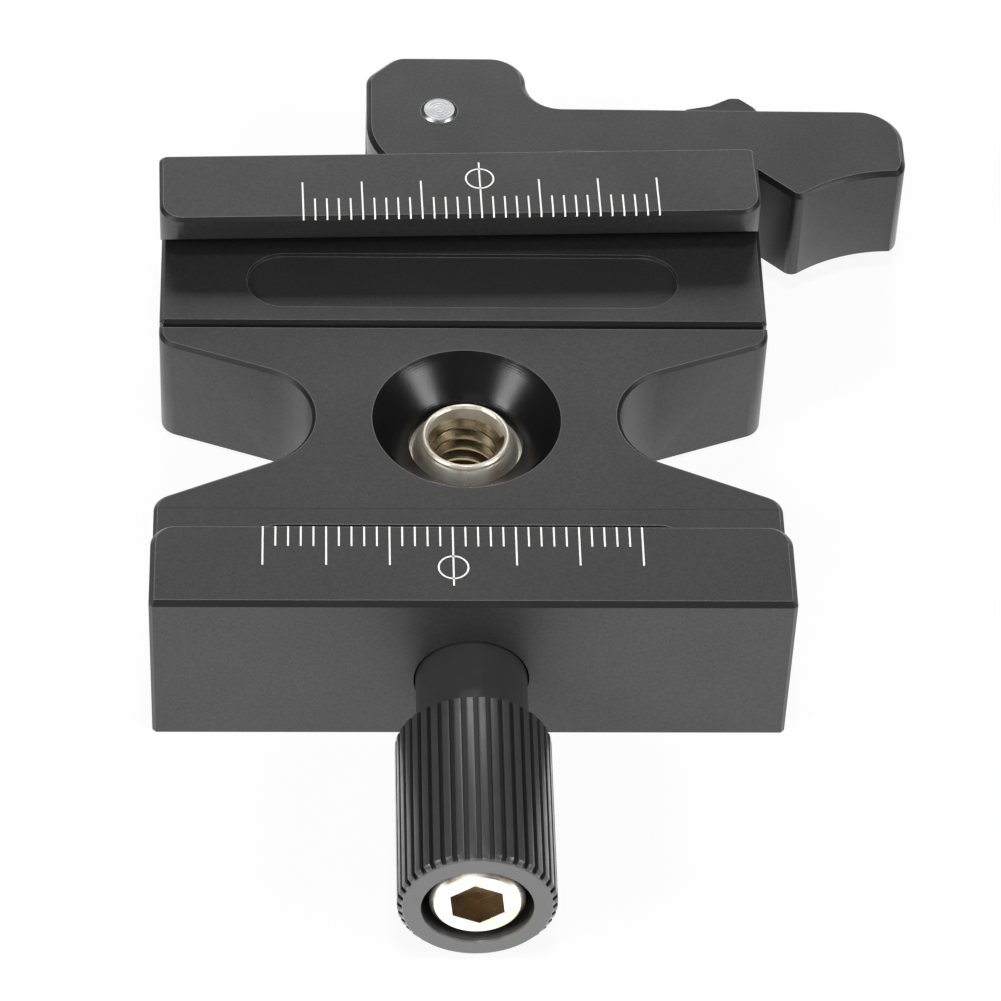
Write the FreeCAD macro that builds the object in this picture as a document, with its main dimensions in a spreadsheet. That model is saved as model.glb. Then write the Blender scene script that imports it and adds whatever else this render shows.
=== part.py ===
import FreeCAD, Part
import math
import os
import re
import Sketcher

# Lever-operated dovetail clamp for camera plates.
# Millimetres, +Z up. The origin is where the axis of the tripod thread meets the flat bottom.
# +X runs along the jaws, +Y runs from the adjusting knob to the lever.

doc = FreeCAD.newDocument("dovetail_clamp")
sheet = doc.addObject("Spreadsheet::Sheet", "sizes")

SIZES = [
    ("clamp_width", 50.8, "length of the jaws along X"),
    ("floor_height", 11.13, "height of the channel floor"),
    ("jaw_rise", 4.41, "height of both jaw tops above the channel floor"),
    ("undercut_height", 2.17, "height of the slanted side under a lip"),
    ("front_face", 24.25, "distance of the front face before the thread axis"),
    ("near_lip", 15.71, "distance of the near lip before the thread axis"),
    ("far_lip", 19.2, "distance of the far lip behind the thread axis"),
    ("base_back", 10.6, "back face of the fixed body"),
    ("carriage_gap", 0.35, "gap between the fixed body and the carriage"),
    ("carriage_back", 27.2, "back face of the carriage"),
    ("notch_radius", 5.37, "root radius of the waist notch"),
    ("notch_wall", 3.25, "wall between the ring pocket and the root of the waist notch"),
    ("notch_centre_y", 0.2, "root centre of the waist notch"),
    ("mouth_rear", 8.63, "rear end of the notch mouth behind the thread axis"),
    ("mouth_front", 9.0, "front end of the notch mouth before the thread axis"),
    ("mouth_radius", 1.8, "rounding of the notch mouth"),
    ("corner_margin", 0.12, "how much smaller the near lip end rounding is than the undercut"),
    ("far_corner", 2.0, "plan rounding of the far lip ends"),
    ("far_rear_corner", 0.7, "plan rounding at the back of the far jaw"),
    ("jaw_chamfer", 0.4, "chamfer round the near jaw top"),
    ("fine_chamfer", 0.3, "small edge breaks"),
    ("foot_chamfer", 0.35, "edge break round the bottom"),
    ("cone_rim", 7.76, "radius of the funnel at the floor"),
    ("bushing_radius", 4.7, "outside radius of the thread bushing"),
    ("bushing_bottom", 0.0, "height of the lower end of the bushing"),
    ("shoulder_depth", 0.87, "depth of the bushing shoulder under the root of the funnel"),
    ("rim_rise", 1.9, "height of the bushing rim over its shoulder"),
    ("skirt_foot", 4.4, "radius of the slanted skirt of the bushing at its shoulder"),
    ("skirt_height", 1.5, "height of that skirt"),
    ("collar_radius", 3.7, "radius of the bushing rim"),
    ("thread_radius", 3.175, "nominal radius of the tripod thread"),
    ("boss_wall", 1.12, "least wall of the boss round the bushing and the funnel"),
    ("recess_length", 36.3, "length of the long shallow floor recess"),
    ("recess_width", 6.3, "width of the shallow floor recess"),
    ("near_recess_width", 6.0, "width of the recess that runs under the near lip"),
    ("recess_depth", 0.35, "depth of the shallow floor recess"),
    ("recess_overlap", 0.85, "how far the near lip reaches over the centre line of its recess"),
    ("far_recess_y", 15.95, "centre line of the far recess behind the thread axis"),
    ("axis_depth", 4.63, "depth of the draw rod axis under the channel floor"),
    ("stem_radius", 2.5, "radius of the draw rod stem"),
    ("rod_thick", 3.4, "thickness of the flat part of the draw rod"),
    ("ring_clearance", 0.4, "room round the boss inside the ring"),
    ("ring_wall", 2.4, "wall of the ring"),
    ("tighten_travel", 0.25, "draw rod travel from rest towards the knob"),
    ("loosen_travel", 3.0, "draw rod travel from rest towards the lever"),
    ("bar_half_width", 2.8, "half width of the flat bar"),
    ("eye_radius", 3.3, "radius of the eye at the lever pin"),
    ("slide_clearance", 0.25, "room round the flat draw rod"),
    ("fit_clearance", 0.05, "radial clearance of a running fit"),
    ("neck_radius", 4.45, "radius of the knob neck"),
    ("counterbore_radius", 4.6, "radius of the seat of the knob neck"),
    ("counterbore_depth", 4.05, "depth of the seat of the knob neck"),
    ("washer_thick", 0.7, "thickness of the thrust washer"),
    ("seat_gap", 0.04, "play on each side of the thrust washer"),
    ("knob_radius", 6.15, "radius over the knob ridges"),
    ("knob_start", 30.8, "start of the ridged grip before the thread axis"),
    ("knob_end", 47.1, "front end of the knob before the thread axis"),
    ("knob_chamfer", 0.45, "end chamfers of the ridged grip"),
    ("groove_width", 0.4, "width of a grip groove"),
    ("groove_depth", 0.38, "depth of a grip groove"),
    ("knob_recess_radius", 4.34, "radius of the recess in the knob end"),
    ("knob_recess_depth", 6.6, "depth of the recess in the knob end"),
    ("stop_head_radius", 3.7, "radius of the stop screw head"),
    ("stop_head_height", 3.0, "height of the stop screw head"),
    ("stop_inset", 0.3, "how far the stop screw sits inside the knob"),
    ("stop_shank_radius", 1.25, "radius of the stop screw shank"),
    ("stop_shank_length", 8.0, "length of the stop screw shank"),
    ("stop_socket", 4.0, "width across flats of the stop screw socket"),
    ("stop_socket_depth", 2.2, "depth of the stop screw socket"),
    ("guide_inset", 10.0, "distance of a guide pin from the end of the jaws"),
    ("guide_radius", 1.5, "radius of a guide pin"),
    ("guide_in_base", 4.1, "depth of a guide pin in the fixed body"),
    ("guide_end_wall", 2.0, "wall behind the guide bore in the carriage"),
    ("guide_end_room", 1.2, "room at the end of a guide pin"),
    ("spring_seat_radius", 2.8, "radius of a spring seat"),
    ("spring_seat_depth", 5.45, "depth of a spring seat in the carriage"),
    ("spring_mean_radius", 2.15, "mean radius of a return spring"),
    ("spring_wire", 0.3, "wire radius of a return spring"),
    ("screw_inset", 4.6, "distance of a jaw screw from the end of the jaws"),
    ("jaw_screw_y", 24.0, "distance of a jaw screw behind the thread axis"),
    ("jaw_screw_radius", 1.25, "radius of a jaw screw"),
    ("jaw_screw_head", 2.2, "radius of a jaw screw head"),
    ("jaw_screw_seat", 3.75, "height of the seat under the head"),
    ("jaw_screw_head_height", 2.4, "height of a jaw screw head"),
    ("jaw_screw_cover", 1.54, "jaw over the tip of a jaw screw"),
    ("jaw_turn", 1.59, "turn of the far jaw bar in plan, degrees"),
    ("jaw_turn_y", 17.0, "centre of that turn behind the thread axis"),
    ("pin_x", 1.65, "distance of the lever pin to the left of the middle"),
    ("pin_y", 36.6, "distance of the lever pin behind the thread axis"),
    ("pin_radius", 1.58, "radius of the lever pin"),
    ("cam_reach", 8.9, "distance from the lever pin to the closed cam face"),
    ("cam_clearance", 0.03, "play between the cam and its plate"),
    ("plate_inset", 0.3, "how far the cam plate sits in the carriage"),
    ("plate_left", 7.0, "left end of the cam plate from the lever pin"),
    ("plate_right", 9.0, "right end of the cam plate from the lever pin"),
    ("plate_below", 5.3, "reach of the cam plate under the draw rod axis"),
    ("plate_cover", 0.93, "distance of its upper edge under the channel floor"),
    ("plate_room", 0.1, "room round the cam plate in its seat"),
    ("lever_height", 9.8, "height of the lever"),
    ("head_back", 7.1, "distance from the pin to the back of the lever head"),
    ("head_right", 7.6, "distance from the pin to the right side of the head"),
    ("arm_back", 0.75, "distance from the pin to the back of the arm root"),
    ("arm_front", 5.4, "distance from the pin line to the front of the arm"),
    ("arm_taper", 0.2, "how far the back of the arm falls towards its end"),
    ("arm_end", 40.25, "distance from the pin to the end of the arm"),
    ("cam_front_end", 6.4, "right end of the cam front from the pin"),
    ("web_start", 9.6, "start of the straight front of the arm from the pin"),
    ("grip_start", 25.05, "end of the straight front of the arm from the pin"),
    ("grip_tip", 30.5, "distance from the pin to the tip of the grip"),
    ("grip_depth", 10.6, "distance of the tip of the grip before the pin line"),
    ("grip_end_depth", 7.45, "distance of the grip's right end before the pin line"),
    ("hollow_radius", 14.2, "radius of the finger hollow"),
    ("hollow_x", 39.74, "centre of the finger hollow from the pin"),
    ("hollow_y", 21.72, "centre of the finger hollow before the pin line"),
    ("head_bevel", 2.6, "plan bevel at the left back of the lever head"),
    ("bevel_corner", 2.0, "plan rounding of both ends of that bevel"),
    ("head_corner", 3.1, "plan rounding at the right back of the lever head"),
    ("root_corner", 3.2, "plan rounding where the arm leaves the head"),
    ("end_corner", 3.8, "plan rounding at the back of the arm end"),
    ("grip_corner", 2.0, "plan rounding at the front of the arm end"),
    ("front_corner", 3.0, "plan rounding along the front of the arm"),
    ("tip_corner", 0.9, "plan rounding of the grip tip"),
    ("slot_right", 4.85, "right side of the lever slot from the pin"),
    ("slot_back", 3.8, "back of the lever slot from the pin"),
    ("lever_chamfer", 0.4, "edge chamfer of the lever"),
    ("latch_x", 24.65, "latch pin from the lever pin along the arm"),
    ("latch_y", 2.6, "latch pin before the line of the lever pin"),
    ("latch_pin_radius", 0.8, "radius of the latch pin"),
    ("latch_thick", 2.8, "thickness of the latch stem"),
    ("latch_room", 0.2, "room over and under the latch stem"),
    ("tab_height", 7.8, "height of the thumb tab"),
    ("tab_half", 3.0, "half length of the thumb tab"),
    ("tab_gap", 0.4, "gap between the arm and the thumb tab"),
    ("tab_rise", 1.75, "rise of the thumb tab behind its foot"),
    ("tab_nose", 0.6, "rounding of the ridge of the thumb tab"),
    ("stem_half", 1.9, "half width of the latch stem"),
    ("catch_reach", 2.6, "reach of the latch nose before the arm"),
    ("latch_coil_radius", 0.95, "mean radius of the latch spring"),
    ("latch_coil_wire", 0.16, "wire radius of the latch spring"),
    ("latch_coil_length", 2.06, "length of the latch spring"),
]

for row, (alias, number, note) in enumerate(SIZES, start=1):
    sheet.set(f"A{row}", note)
    sheet.set(f"B{row}", str(number))
    sheet.setAlias(f"B{row}", alias)
doc.recompute()

ALIASES = {alias for alias, number, note in SIZES}
DERIVED = {
    "jaw_height": "(floor_height + jaw_rise)",
    "lip_nose": "(jaw_rise - undercut_height)",
    "near_corner": "(undercut_height - corner_margin)",
    "axis_height": "(floor_height - axis_depth)",
    "lever_bottom": "(axis_height - lever_height / 2)",
    "plate_bottom": "(axis_height - plate_below)",
    "pocket_top": "(axis_height + rod_thick / 2 + slide_clearance)",
    "funnel_root": "(floor_height - cone_rim + bushing_radius)",
    "bushing_shoulder": "(funnel_root - shoulder_depth)",
    "bushing_top": "(bushing_shoulder + rim_rise)",
    "boss_radius": "(max(cone_rim - floor_height + pocket_top; bushing_radius) + boss_wall)",
    "ring_room": "(boss_radius + ring_clearance)",
    "ring_side": "(ring_room + ring_wall + ring_clearance)",
    "notch_centre_x": "(ring_side + notch_wall + notch_radius)",
    "near_recess_y": "(near_lip - recess_overlap)",
    "carriage_front": "(base_back + carriage_gap)",
    "guide_x": "(clamp_width / 2 - guide_inset)",
    "guide_bore_end": "(carriage_back - guide_end_wall)",
    "guide_reach": "(guide_bore_end - guide_end_room - base_back)",
    "spring_seat_end": "(carriage_front + spring_seat_depth)",
    "jaw_screw_x": "(clamp_width / 2 - screw_inset)",
    "jaw_screw_top": "(jaw_height - jaw_screw_cover)",
    "plate_top": "(floor_height - plate_cover)",
    "tab_foot": "(latch_y + arm_back + tab_gap)",
}
CAM_STEPS = 15
GROOVE_COUNT = 40
RETURN_TURNS = 4
LATCH_TURNS = 3
SOCKET_TURN = 84.0
FACING_Y = FreeCAD.Rotation(FreeCAD.Vector(1, 0, 0), -90)
FACING_KNOB = FreeCAD.Rotation(FreeCAD.Vector(1, 0, 0), 90)
UPRIGHT = FreeCAD.Rotation()


def formula(text):
    """Write out derived sizes, and write sheet names as references to the sheet."""
    def refer(match):
        word = match.group(0)
        if word in DERIVED:
            return formula(DERIVED[word])
        return f"sizes.{word}" if word in ALIASES else word
    return re.sub(r"[a-z_]+", refer, text)


def bind(item, name, text):
    """Bind one property to a formula of the sheet."""
    item.setExpression(name, formula(text))


def number_of(text):
    """Work out one formula of the sheet as a plain number."""
    return float(sheet.evalExpression(formula(text)))


def new_body(label, x="0", y="0", z="0", rotation=UPRIGHT):
    """Start a piece at its own place."""
    body = doc.addObject("PartDesign::Body", label)
    body.Label = label
    body.Placement = FreeCAD.Placement(FreeCAD.Vector(), rotation)
    bind(body, "Placement.Base.x", x)
    bind(body, "Placement.Base.y", y)
    bind(body, "Placement.Base.z", z)
    return body


def place(feature, x, y, z, rotation):
    """Bind the place of a primitive inside its body."""
    feature.Placement = FreeCAD.Placement(FreeCAD.Vector(), rotation)
    bind(feature, "Placement.Base.x", x)
    bind(feature, "Placement.Base.y", y)
    bind(feature, "Placement.Base.z", z)


def box(body, kind, name, x, y, z):
    """Add or cut a box given as low and high formulas on each axis."""
    feature = body.newObject(f"PartDesign::{kind}Box", name)
    bind(feature, "Length", f"({x[1]}) - ({x[0]})")
    bind(feature, "Width", f"({y[1]}) - ({y[0]})")
    bind(feature, "Height", f"({z[1]}) - ({z[0]})")
    place(feature, x[0], y[0], z[0], UPRIGHT)
    doc.recompute()
    return feature


def cylinder(body, kind, name, radius, height, at=("0", "0", "0"), rotation=UPRIGHT):
    """Add or cut a cylinder that starts at a point and runs along its own axis."""
    feature = body.newObject(f"PartDesign::{kind}Cylinder", name)
    bind(feature, "Radius", radius)
    bind(feature, "Height", height)
    place(feature, at[0], at[1], at[2], rotation)
    doc.recompute()
    return feature


def hexagon(body, kind, name, across, height, at, turn=0.0):
    """Add or cut an upright hexagonal prism of a given width across flats."""
    feature = body.newObject(f"PartDesign::{kind}Prism", name)
    feature.Polygon = 6
    bind(feature, "Circumradius", f"({across}) / 1.7320508")
    bind(feature, "Height", height)
    place(feature, at[0], at[1], at[2], FreeCAD.Rotation(FreeCAD.Vector(0, 0, 1), turn))
    doc.recompute()
    return feature


def outline(body, name, plane, corners, level="0"):
    """Draw a closed outline whose corners are pairs of formulas."""
    sketch = body.newObject("Sketcher::SketchObject", name)
    support = next(item for item in body.Origin.OriginFeatures if item.Role == plane)
    sketch.AttachmentSupport = [(support, "")]
    sketch.MapMode = "FlatFace"
    bind(sketch, "AttachmentOffset.Base.z", level)
    count = len(corners)
    spread = [2 * math.pi * index / count for index in range(count)]
    starts = [FreeCAD.Vector(20 * math.cos(turn), 20 * math.sin(turn), 0) for turn in spread]
    for index in range(count):
        sketch.addGeometry(Part.LineSegment(starts[index], starts[(index + 1) % count]), False)
    for index in range(count):
        following = (index + 1) % count
        sketch.addConstraint(Sketcher.Constraint("Coincident", index, 2, following, 1))
    for index, (across, along) in enumerate(corners):
        start = starts[index]
        at_x = sketch.addConstraint(Sketcher.Constraint("DistanceX", -1, 1, index, 1, start.x))
        at_y = sketch.addConstraint(Sketcher.Constraint("DistanceY", -1, 1, index, 1, start.y))
        bind(sketch, f"Constraints[{at_x}]", across)
        bind(sketch, f"Constraints[{at_y}]", along)
    doc.recompute()
    return sketch


def pad(body, name, sketch, length, middle=False):
    """Raise an outline along its normal."""
    feature = body.newObject("PartDesign::Pad", name)
    feature.Profile = sketch
    bind(feature, "Length", length)
    feature.Midplane = middle
    doc.recompute()
    return feature


def pocket_up(body, name, sketch, length):
    """Cut an outline upwards from its plane."""
    feature = body.newObject("PartDesign::Pocket", name)
    feature.Profile = sketch
    bind(feature, "Length", length)
    feature.Reversed = True
    doc.recompute()
    return feature


def edge_names(feature, test):
    """Name the edges of a feature that pass a test."""
    return [f"Edge{index}" for index, edge in enumerate(feature.Shape.Edges, start=1) if test(edge)]


def upright_at(x, y, low=-1e3, high=1e3):
    """Test for an upright edge at a point in plan, inside a height range."""
    def test(edge):
        ends = [vertex.Point for vertex in edge.Vertexes]
        if len(ends) != 2:
            return False
        near = all(abs(end.x - x) < 0.02 and abs(end.y - y) < 0.02 for end in ends)
        return near and all(low < end.z < high for end in ends)
    return test


def level_at(z, low_y=-1e3, high_y=1e3, longer=0.0):
    """Test for an edge lying in one level plane, inside a range along Y."""
    def test(edge):
        box_of = edge.BoundBox
        flat = abs(box_of.ZMin - z) < 0.01 and abs(box_of.ZMax - z) < 0.01
        return flat and low_y < box_of.YMin and box_of.YMax < high_y and edge.Length > longer
    return test


def dress(body, kind, name, feature, tests, size):
    """Round or chamfer the edges of a feature that pass any of the tests."""
    names = sorted({item for test in tests for item in edge_names(feature, test)})
    if not names:
        raise RuntimeError(f"{body.Label} {name}: no edges found")
    result = body.newObject(f"PartDesign::{kind}", name)
    result.Base = (feature, names)
    bind(result, "Radius" if kind == "Fillet" else "Size", size)
    doc.recompute()
    if not result.isValid() or not result.Shape.isValid():
        raise RuntimeError(f"{body.Label} {name}: {names} failed")
    return result


def undercut(body, name, lip, sign):
    """Cut the slanted channel side under a lip."""
    root = f"{lip} + {sign} * (jaw_height - lip_nose - floor_height)"
    wedge = outline(body, f"{name}_wedge", "YZ_Plane", [
        (root, "floor_height"),
        (f"{lip} - {sign}", "floor_height"),
        (f"{lip} - {sign}", "jaw_height - lip_nose + 1"),
    ])
    cut = body.newObject("PartDesign::Pocket", name)
    cut.Profile = wedge
    bind(cut, "Length", "clamp_width + 2")
    cut.Midplane = True
    doc.recompute()
    return cut


def wall_angle(across, along):
    """Angle round the notch root where a straight wall from the mouth touches it."""
    reach = f"sqrt({across} ^ 2 + {along} ^ 2)"
    return f"(atan2({along}; {across}) + acos(notch_radius / {reach}))"


def build_base():
    """Fixed body with the near jaw, the waist notches and the funnel."""
    body = new_body("clamp_base")
    block = box(body, "Additive", "base_slab", ("-clamp_width / 2", "clamp_width / 2"),
                ("-front_face", "base_back"), ("0", "floor_height"))
    mouth_x = "(clamp_width / 2 - notch_centre_x)"
    rear = wall_angle(mouth_x, "(mouth_rear - notch_centre_y)")
    front = wall_angle(mouth_x, "(mouth_front + notch_centre_y)")
    for word, sign in (("right", "1"), ("left", "-1")):
        notch = outline(body, f"notch_{word}", "XY_Plane", [
            (f"{sign} * (notch_centre_x + notch_radius * cos({rear}))",
             f"notch_centre_y + notch_radius * sin({rear})"),
            (f"{sign} * clamp_width / 2", "mouth_rear"),
            (f"{sign} * (clamp_width / 2 + 1)", "mouth_rear"),
            (f"{sign} * (clamp_width / 2 + 1)", "-mouth_front"),
            (f"{sign} * clamp_width / 2", "-mouth_front"),
            (f"{sign} * (notch_centre_x + notch_radius * cos({front}))",
             f"notch_centre_y - notch_radius * sin({front})"),
        ], "-1")
        pocket_up(body, f"notch_cut_{word}", notch, "floor_height + 2")
        block = cylinder(body, "Subtractive", f"notch_root_{word}", "notch_radius", "floor_height + 2",
                         (f"{sign} * notch_centre_x", "notch_centre_y", "-1"))
    half = number_of("clamp_width / 2")
    lip_y = -number_of("near_lip")
    front_y = -number_of("front_face")
    mouths = [upright_at(x, y) for x in (half, -half)
              for y in (number_of("mouth_rear"), -number_of("mouth_front"))]
    last = dress(body, "Fillet", "mouth_rounding", block, mouths, "mouth_radius")
    last = dress(body, "Chamfer", "floor_break", last,
                 [level_at(number_of("floor_height"))], "fine_chamfer")
    dress(body, "Chamfer", "foot_break", last, [level_at(0.0)], "foot_chamfer")
    box(body, "Additive", "near_jaw", ("-clamp_width / 2", "clamp_width / 2"),
        ("-front_face", "-near_lip"), ("0", "jaw_height"))
    last = undercut(body, "near_undercut", "-near_lip", "-1")
    nose = number_of("jaw_height - lip_nose - 0.1")
    last = dress(body, "Fillet", "near_lip_rounding", last,
                 [upright_at(half, lip_y, low=nose), upright_at(-half, lip_y, low=nose)], "near_corner")
    last = dress(body, "Chamfer", "front_upright_breaks", last,
                 [upright_at(half, front_y), upright_at(-half, front_y)], "fine_chamfer")
    dress(body, "Chamfer", "jaw_top_break", last, [level_at(number_of("jaw_height"))], "jaw_chamfer")
    box(body, "Subtractive", "ring_pocket", ("-ring_side", "ring_side"),
        ("-(ring_side + loosen_travel + tighten_travel)", "base_back + 1"), ("-1", "pocket_top"))
    cylinder(body, "Additive", "bushing_boss", "boss_radius", "pocket_top + 0.3")
    funnel = body.newObject("PartDesign::SubtractiveCone", "funnel")
    bind(funnel, "Radius1", "bushing_radius")
    bind(funnel, "Radius2", "cone_rim + 0.5")
    bind(funnel, "Height", "cone_rim - bushing_radius + 0.5")
    place(funnel, "0", "0", "funnel_root", UPRIGHT)
    doc.recompute()
    last = cylinder(body, "Subtractive", "bushing_bore", "bushing_radius", "floor_height",
                    ("0", "0", "-1"))
    cylinder(body, "Subtractive", "stem_bore", "stem_radius + 2 * fit_clearance", "front_face",
             ("0", "-front_face - 1", "axis_height"), FACING_Y)
    cylinder(body, "Subtractive", "neck_seat", "counterbore_radius", "counterbore_depth + 1",
             ("0", "-front_face - 1", "axis_height"), FACING_Y)
    for word, sign in (("right", "1"), ("left", "-1")):
        cylinder(body, "Subtractive", f"guide_hole_{word}", "guide_radius", "guide_in_base + 1",
                 (f"{sign} * guide_x", "base_back - guide_in_base", "axis_height"), FACING_Y)
    floor_recess(body, "near", "-near_recess_y", "near_recess_width")
    return body


def floor_recess(body, word, centre, width):
    """Cut a long shallow recess with round ends into the floor."""
    reach = f"(recess_length - {width}) / 2"
    level = "floor_height - recess_depth"
    box(body, "Subtractive", f"{word}_recess", (f"-{reach}", reach),
        (f"{centre} - {width} / 2", f"{centre} + {width} / 2"),
        (level, "floor_height + 0.05"))
    for end, sign in (("right", "1"), ("left", "-1")):
        cylinder(body, "Subtractive", f"{word}_recess_{end}", f"{width} / 2", "recess_depth + 0.05",
                 (f"{sign} * {reach}", centre, level))


def build_bushing():
    """Steel reducer bushing with its raised rim."""
    body = new_body("thread_bushing", z="bushing_bottom")
    cylinder(body, "Additive", "bushing_barrel", "bushing_radius", "bushing_shoulder - bushing_bottom")
    skirt = body.newObject("PartDesign::AdditiveCone", "bushing_skirt")
    bind(skirt, "Radius1", "skirt_foot")
    bind(skirt, "Radius2", "collar_radius + 0.03")
    bind(skirt, "Height", "skirt_height")
    place(skirt, "0", "0", "bushing_shoulder - bushing_bottom", UPRIGHT)
    doc.recompute()
    cylinder(body, "Additive", "bushing_rim", "collar_radius", "bushing_top - bushing_bottom")
    last = cylinder(body, "Subtractive", "tripod_thread", "thread_radius", "bushing_top + 2",
                    ("0", "0", "-1"))
    top = number_of("bushing_top - bushing_bottom")
    dress(body, "Chamfer", "bushing_breaks", last, [level_at(top)], "0.18")
    return body


def build_carriage():
    """Moving block behind the fixed body."""
    body = new_body("rear_carriage")
    block = box(body, "Additive", "carriage_block", ("-clamp_width / 2", "clamp_width / 2"),
                ("carriage_front", "carriage_back"), ("0", "floor_height"))
    half = number_of("clamp_width / 2")
    floor = number_of("floor_height")
    front_y = number_of("carriage_front")
    back_y = number_of("carriage_back")
    corners = [upright_at(x, y) for x in (half, -half) for y in (front_y, back_y)]
    last = dress(body, "Chamfer", "carriage_upright_breaks", block, corners, "fine_chamfer")
    last = dress(body, "Chamfer", "carriage_level_breaks", last,
                 [level_at(floor), level_at(0.0)], "fine_chamfer")
    box(body, "Subtractive", "bar_channel",
        ("-(pin_x + eye_radius + slide_clearance)", "bar_half_width + slide_clearance"),
        ("carriage_front - 1", "carriage_back + 1"),
        ("axis_height - rod_thick / 2 - slide_clearance", "pocket_top"))
    box(body, "Subtractive", "plate_seat",
        ("-pin_x - plate_left - plate_room", "-pin_x + plate_right + plate_room"),
        ("carriage_back - plate_inset", "carriage_back + 1"),
        ("plate_bottom - plate_room", "plate_top + plate_room"))
    for word, sign in (("right", "1"), ("left", "-1")):
        cylinder(body, "Subtractive", f"guide_bore_{word}", "guide_radius + fit_clearance",
                 "guide_bore_end - carriage_front + 1",
                 (f"{sign} * guide_x", "carriage_front - 1", "axis_height"), FACING_Y)
        cylinder(body, "Subtractive", f"spring_seat_{word}", "spring_seat_radius",
                 "spring_seat_depth + 1",
                 (f"{sign} * guide_x", "carriage_front - 1", "axis_height"), FACING_Y)
        cylinder(body, "Subtractive", f"screw_hole_{word}", "jaw_screw_radius + 0.1",
                 "floor_height + 2", (f"{sign} * jaw_screw_x", "jaw_screw_y", "-1"))
        cylinder(body, "Subtractive", f"screw_seat_{word}", "jaw_screw_head + 0.2",
                 "jaw_screw_seat + 1", (f"{sign} * jaw_screw_x", "jaw_screw_y", "-1"))
    floor_recess(body, "far", "far_recess_y", "recess_width")
    return body


def build_rear_jaw():
    """Jaw bar bolted on the carriage, turned slightly in plan."""
    body = new_body("rear_jaw", y="jaw_turn_y")
    body.Placement.Rotation = FreeCAD.Rotation(FreeCAD.Vector(0, 0, 1), number_of("jaw_turn"))
    bind(body, "Placement.Rotation.Angle", "jaw_turn")
    side = outline(body, "jaw_side", "YZ_Plane", [
        ("far_lip - jaw_turn_y", "floor_height"),
        ("carriage_back - jaw_turn_y", "floor_height"),
        ("carriage_back - jaw_turn_y", "jaw_height"),
        ("far_lip - jaw_turn_y", "jaw_height"),
    ])
    bar = pad(body, "jaw_bar", side, "clamp_width", True)
    half = number_of("clamp_width / 2")
    lip_y = number_of("far_lip - jaw_turn_y")
    back_y = number_of("carriage_back - jaw_turn_y")
    last = dress(body, "Fillet", "far_lip_rounding", bar,
                 [upright_at(half, lip_y), upright_at(-half, lip_y)], "far_corner")
    last = dress(body, "Fillet", "far_back_rounding", last,
                 [upright_at(half, back_y), upright_at(-half, back_y)], "far_rear_corner")
    last = undercut(body, "far_undercut", "(far_lip - jaw_turn_y)", "1")
    dress(body, "Chamfer", "far_top_break", last, [level_at(number_of("jaw_height"))], "fine_chamfer")
    reach = "(jaw_screw_y - jaw_turn_y)"
    for word, sign in (("right", "1"), ("left", "-1")):
        cylinder(body, "Subtractive", f"jaw_thread_{word}", "jaw_screw_radius",
                 "jaw_screw_top - floor_height + 1.2",
                 (f"{sign} * jaw_screw_x * cos(jaw_turn) + {reach} * sin(jaw_turn)",
                  f"{reach} * cos(jaw_turn) - {sign} * jaw_screw_x * sin(jaw_turn)",
                  "floor_height - 1"))
    return body


def build_jaw_screw(word, sign):
    """Cap screw that holds the jaw bar from below."""
    body = new_body(f"jaw_screw_{word}", f"{sign} * jaw_screw_x", "jaw_screw_y",
                    "jaw_screw_seat - jaw_screw_head_height")
    cylinder(body, "Additive", f"screw_shank_{word}", "jaw_screw_radius",
             "jaw_screw_top - jaw_screw_seat + jaw_screw_head_height")
    cylinder(body, "Additive", f"screw_head_{word}", "jaw_screw_head", "jaw_screw_head_height")
    hexagon(body, "Subtractive", f"screw_socket_{word}", "2.0", "2.2", ("0", "0", "-1"))
    return body


def build_guide_pin(word, sign):
    """Round guide pin pressed into the fixed body."""
    body = new_body(f"guide_pin_{word}", f"{sign} * guide_x", "base_back - guide_in_base + 0.1",
                    "axis_height", FACING_Y)
    last = cylinder(body, "Additive", f"guide_shaft_{word}", "guide_radius",
                    "guide_in_base + guide_reach - 0.1")
    end = number_of("guide_in_base + guide_reach - 0.1")
    dress(body, "Chamfer", f"guide_end_{word}", last, [level_at(end)], "0.3")
    return body


def build_coil(label, centre, direction, mean_radius, wire, length, turns):
    """Coil spring along X or Y with a six-sided wire."""
    helix = doc.addObject("Part::Helix", f"{label}_path")
    bind(helix, "Radius", mean_radius)
    bind(helix, "Height", length)
    bind(helix, "Pitch", f"({length}) / {turns}")
    section = doc.addObject("Part::RegularPolygon", f"{label}_wire")
    section.Polygon = 6
    bind(section, "Circumradius", wire)
    if direction == "y":
        helix_turn = FACING_Y
        section_turn = UPRIGHT
        offset = (mean_radius, "0", "0")
    else:
        helix_turn = FreeCAD.Rotation(FreeCAD.Vector(0, 1, 0), 90)
        section_turn = FreeCAD.Rotation(FreeCAD.Vector(1, 0, 0), 90)
        offset = ("0", "0", f"-({mean_radius})")
    place(helix, centre[0], centre[1], centre[2], helix_turn)
    place(section, f"{centre[0]} + {offset[0]}", f"{centre[1]} + {offset[1]}",
          f"{centre[2]} + {offset[2]}", section_turn)
    doc.recompute()
    coil = doc.addObject("Part::Sweep", label)
    coil.Label = label
    coil.Sections = [section]
    coil.Spine = (helix, [])
    coil.Solid = True
    coil.Frenet = True
    doc.recompute()
    return coil


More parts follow.
